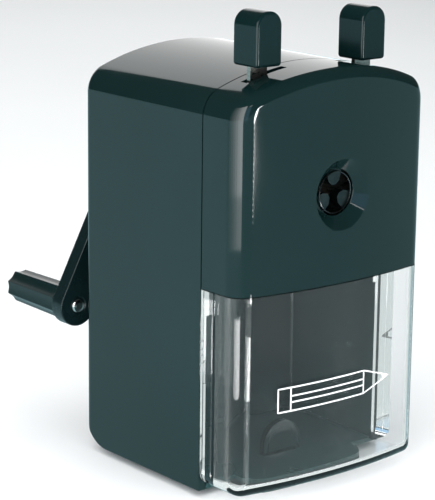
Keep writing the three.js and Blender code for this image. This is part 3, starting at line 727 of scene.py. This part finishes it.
STEEL = brushed("steel_drawn", (0.52, 0.52, 0.51), (0.68, 0.68, 0.66), 0.18, 0.34)
PRESSED = brushed("steel_pressed", (0.40, 0.37, 0.34), (0.58, 0.55, 0.51), 0.22, 0.4, (1, 1, 6), 500)
BRIGHT = brushed("steel_turned", (0.62, 0.62, 0.60), (0.78, 0.78, 0.76), 0.12, 0.25, (1, 14, 1), 700)
DARK_STEEL = brushed("steel_blackened", (0.10, 0.11, 0.11), (0.16, 0.17, 0.17), 0.15, 0.28, (1, 14, 1), 700)
JAW = brushed("jaw_cast_metal", (0.035, 0.05, 0.052), (0.06, 0.08, 0.082), 0.25, 0.45, (1, 1, 1), 700, 0.00003)
RUBBER = rubber("foot_rubber")
PRINT = white_print("white_print")


# ---- putting the pieces together ----

def paint(obj, material):
    obj.data.materials.clear()
    obj.data.materials.append(material)


def place(obj, body, material, slot, *nodes, angle=35):
    paint(obj, material)
    smooth(obj, angle)
    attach(obj, body)
    if nodes:
        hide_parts(*nodes)
    return obj


def dress(node, material, edge=0.12, angle=35):
    """A CAD node that stays: it gets its material, softened edges and smooth shading."""
    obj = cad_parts[node]
    paint(obj, material)
    obj.data.shade_smooth()
    obj.data.set_sharp_from_angle(angle=math.radians(angle))
    if edge:
        modifier = obj.modifiers.new("edges", "BEVEL")
        modifier.width = edge * MM
        modifier.segments = 2
        modifier.limit_method = "ANGLE"
        modifier.angle_limit = math.radians(angle)
        modifier.use_clamp_overlap = True
    normals = obj.modifiers.new("normals", "WEIGHTED_NORMAL")
    normals.keep_sharp = True


place(make_casing(), "base", CASING, "casing_plastic", "main_casing")
place(make_cover(), "front", CASING, "casing_plastic", "front_cover")
place(make_cap(LEFT_LEVER, "lever_knob_left"), "lever_left", CAP, "casing_plastic", "lever_cap_left")
place(make_cap(RIGHT_LEVER, "lever_knob_right"), "lever_right", CAP, "casing_plastic", "lever_cap_right")
drawer = place(make_drawer(), "drawer", CLEAR, "clear_plastic", "drawer", angle=30)
drawer.visible_shadow = False
place(make_print(), "drawer", PRINT, "pale_plastic")
place(make_arm(), "crank", ARM, "casing_plastic", "crank_arm")
place(make_grip(), "grip", GRIP, "grip_plastic", "handle_grip", angle=25)

ring_low, ring_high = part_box("chuck_ring")
ring_y = (ring_low.y + ring_high.y) / 2 / MM
ring_turns = [math.pi / 4 * i for i in range(8)]
ring_section = [(5.5 + 0.2 * math.cos(a), ring_y + 0.25 * math.sin(a)) for a in ring_turns]
chuck_ring = turned(ring_section, segments=96, name="chuck_ring_turned")
place(chuck_ring, "front", DARK_STEEL, "steel", "chuck_ring")

for side, x in (("left", -ROD_X), ("right", ROD_X)):
    path = helix(2.95, 7, -7.6, 32.3, (x, ROD_Z), "y")
    spring = tube_along(path, 0.38, 10, f"return_coil_{side}")
    place(spring, "base", BRIGHT, "steel", f"return_spring_{side}")
    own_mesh(spring)

coil_low, coil_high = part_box("lever_spring")
coil_start, coil_length = coil_low.x / MM + 0.4, (coil_high.x - coil_low.x) / MM - 0.8
coil_centre = (STRIP_FRONT_Y + STRIP_THICKNESS / 2, LEVER_SPRING_Z)
coil = tube_along(helix(2.3, 6, coil_start, coil_length, coil_centre, "x"), 0.33, 10, "lever_coil")
place(coil, "front", BRIGHT, "steel", "lever_spring")
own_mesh(coil)

for names, material, edge in (
    (("base_plate",), INSIDE, 0.25),
    (("bulkhead",), INSIDE, 0.15),
    (("rear_bearing",), CASING, 0.2),
    (("front_foot", "centre_pad", "rear_foot_left", "rear_foot_right"), RUBBER, 0.25),
    (("ring_gear",), GEAR, 0.08),
    (("cutter_carrier",), GEAR, 0.3),
    (("chuck_plate", "lever_strip_left", "lever_strip_right"), PRESSED, 0.12),
    (("jaw_top", "jaw_left", "jaw_right"), JAW, 0.3),
    (("helical_cutter",), STEEL, 0.05),
    (("guide_rod_left", "guide_rod_right", "handle_pin"), BRIGHT, 0.15),
    (("base_screw_left", "base_screw_right", "bulkhead_screw_left", "bulkhead_screw_right"), STEEL, 0.15),
    (("chuck_screw_left", "chuck_screw_right", "crank_screw"), STEEL, 0.15),
):
    for name in names:
        dress(name, material, edge)


# ---- studio ----

def look(name, place_at, aim, kind=None, **settings):
    """A light or camera at a point, aimed at another, in metres."""
    data = bpy.data.lights.new(name, kind) if kind else bpy.data.cameras.new(name)
    for key, value in settings.items():
        setattr(data, key, value)
    obj = bpy.data.objects.new(name, data)
    bpy.context.scene.collection.objects.link(obj)
    obj.location = place_at
    obj.rotation_mode = "QUATERNION"
    obj.rotation_quaternion = (Vector(aim) - Vector(place_at)).to_track_quat("-Z", "Y")
    return obj


def softbox(name, place_at, aim, width, height, radiance, glossy=True, diffuse=True):
    """Rectangular area light given by the radiance its face shows."""
    light = look(name, place_at, aim, "AREA", shape="RECTANGLE", size=width, size_y=height)
    light.data.energy = radiance * math.pi * width * height
    light.visible_camera = False
    light.visible_glossy = glossy
    light.visible_diffuse = diffuse
    return light


def make_floor():
    """Pale floor. Paths that have been reflected see a dim glow instead, paler once inside the plastic."""
    size, steps = 6.0, 12
    row = steps + 1
    points = [((i / steps - 0.5) * size / MM, (j / steps - 0.5) * size / MM, 0.0)
              for j in range(row) for i in range(row)]
    corners = [j * row + i for j in range(steps) for i in range(steps)]
    faces = [(k, k + 1, k + row + 1, k + row) for k in corners]
    floor = new_object("floor", points, faces)
    shader = Shader("floor_pale", (0.86, 0.87, 0.88), 0.7)
    shader.colours(shader.noise(6, 3), (0.855, 0.865, 0.875), (0.87, 0.88, 0.89))
    nodes, links = shader.nodes, shader.links
    path = nodes.new("ShaderNodeLightPath")
    reflected = nodes.new("ShaderNodeMath")
    reflected.operation = "GREATER_THAN"
    reflected.inputs[1].default_value = 0.5
    links.new(path.outputs["Glossy Depth"], reflected.inputs[0])
    dim = nodes.new("ShaderNodeEmission")
    inside = nodes.new("ShaderNodeMath")
    inside.operation = "GREATER_THAN"
    inside.inputs[1].default_value = 0.5
    links.new(path.outputs["Transmission Depth"], inside.inputs[0])
    tint = nodes.new("ShaderNodeMix")
    tint.data_type = "RGBA"
    tint.inputs["A"].default_value = (0.60, 0.93, 1.0, 1)
    tint.inputs["B"].default_value = (1.36, 1.46, 1.45, 1)
    links.new(inside.outputs[0], tint.inputs["Factor"])
    links.new(tint.outputs["Result"], dim.inputs["Color"])
    position = nodes.new("ShaderNodeSeparateXYZ")
    links.new(shader.coordinates.outputs["Object"], position.inputs[0])
    behind = nodes.new("ShaderNodeMath")
    behind.operation = "SUBTRACT"
    links.new(position.outputs["Y"], behind.inputs[0])
    links.new(position.outputs["X"], behind.inputs[1])
    links.new(shader.spread(behind.outputs[0], 0.52, 0.80, -0.15, 0.2), dim.inputs["Strength"])
    mix = nodes.new("ShaderNodeMixShader")
    output = next(n for n in nodes if n.type == "OUTPUT_MATERIAL")
    links.new(reflected.outputs[0], mix.inputs["Fac"])
    links.new(shader.bsdf.outputs["BSDF"], mix.inputs[1])
    links.new(dim.outputs["Emission"], mix.inputs[2])
    links.new(mix.outputs["Shader"], output.inputs["Surface"])
    paint(floor, shader.material)


def make_world():
    """White to the camera and through the clear plastic, dimmer to diffuse light and dark to reflections."""
    world = bpy.data.worlds.new("studio")
    bpy.context.scene.world = world
    world.use_nodes = True
    nodes, links = world.node_tree.nodes, world.node_tree.links
    nodes.clear()
    path = nodes.new("ShaderNodeLightPath")
    bounces = nodes.new("ShaderNodeMath")
    bounces.operation = "ADD"
    links.new(path.outputs["Glossy Depth"], bounces.inputs[0])
    links.new(path.outputs["Diffuse Depth"], bounces.inputs[1])
    seen = nodes.new("ShaderNodeMath")
    seen.operation = "LESS_THAN"
    seen.inputs[1].default_value = 0.5
    links.new(bounces.outputs[0], seen.inputs[0])
    white = nodes.new("ShaderNodeBackground")
    white.inputs["Color"].default_value = (1, 1, 1, 1)
    dim = nodes.new("ShaderNodeBackground")
    dim.inputs["Color"].default_value = (0.97, 1.0, 1.0, 1)
    level = nodes.new("ShaderNodeMapRange")
    level.inputs["To Min"].default_value = 0.45
    level.inputs["To Max"].default_value = 0.05
    links.new(path.outputs["Glossy Depth"], level.inputs["Value"])
    links.new(level.outputs["Result"], dim.inputs["Strength"])
    mix = nodes.new("ShaderNodeMixShader")
    output = nodes.new("ShaderNodeOutputWorld")
    links.new(seen.outputs[0], mix.inputs["Fac"])
    links.new(dim.outputs[0], mix.inputs[1])
    links.new(white.outputs[0], mix.inputs[2])
    links.new(mix.outputs[0], output.inputs["Surface"])


def around(angle, distance, height):
    """Point at a bearing round the body: 0 is to its left, 90 behind it, -90 in front of it."""
    a = math.radians(angle)
    return (-math.cos(a) * distance, math.sin(a) * distance, height)


CORNER = Vector((-0.0315, -0.031, 0.0))
LEFT_CARD_RADIANCES = (4.8, 4.2, 2.8, 1.7, 0.9, 0.4)


def card(name, bearing, distance, bottom, top, width, radiance, colour=(1, 1, 1)):
    """Upright softbox facing the front left corner."""
    height = (bottom + top) / 2
    place_at = CORNER + Vector(around(bearing, distance, height))
    light = softbox(name, place_at, CORNER + Vector((0, 0, height)), width, top - bottom, radiance)
    light.data.color = colour
    return light


make_floor()
make_world()
softbox("overhead", (-0.1, -0.1, 1.3), (0, 0, 0.05), 1.7, 1.7, 2.2, glossy=False)
softbox("front_fill", (0.3, -1.2, 0.7), (0, 0, 0.06), 0.9, 0.9, 1.0, glossy=False)
softbox("backdrop", (0.52, 1.05, 0.42), (0.52, 0.0, 0.42), 1.12, 0.90, 1.25, diffuse=False)
for i, radiance in enumerate(LEFT_CARD_RADIANCES):
    bearing = -40 + 12 * i
    for part, bottom, top, share in (("low", 0.0, 0.022, 0.5), ("high", 0.022, 0.32, 1.0)):
        card(f"left_card_{part}_{i}", bearing, 0.285, bottom, top, 0.061, radiance * share)
card("front_strip", -107, 0.34, 0.0, 0.085, 0.030, 42)
card("low_card", -32, 0.094, 0.0, 0.025, 0.050, 7.0)
card("low_strip", -104, 0.094, 0.0, 0.020, 0.022, 8.0)
card("camera_card", -58, 0.40, 0.07, 0.32, 0.16, 1.0, (0.42, 0.70, 1.0))
card("camera_strip", -64, 0.40, 0.325, 0.345, 0.10, 5.0)

AZIMUTH, ELEVATION, ROLL = math.radians(-39.53), math.radians(13.76), math.radians(0.69)
TARGET = Vector((-5.06, 10.31, 58.43)) * MM
DISTANCE = 0.560
FOCAL_IN_FRAME_HEIGHTS = 2020 / 500

back = Vector((
    math.sin(AZIMUTH) * math.cos(ELEVATION), -math.cos(AZIMUTH) * math.cos(ELEVATION), math.sin(ELEVATION),
))
camera = look("camera", TARGET + back * DISTANCE, TARGET)
camera.data.sensor_fit = "VERTICAL"
camera.data.sensor_height = 36
camera.data.lens = 36 * FOCAL_IN_FRAME_HEIGHTS
camera.data.clip_start = 0.01
camera.rotation_quaternion = camera.rotation_quaternion @ Matrix.Rotation(ROLL, 4, "Z").to_quaternion()
bpy.context.scene.camera = camera
bpy.context.scene.view_settings.view_transform = "Standard"
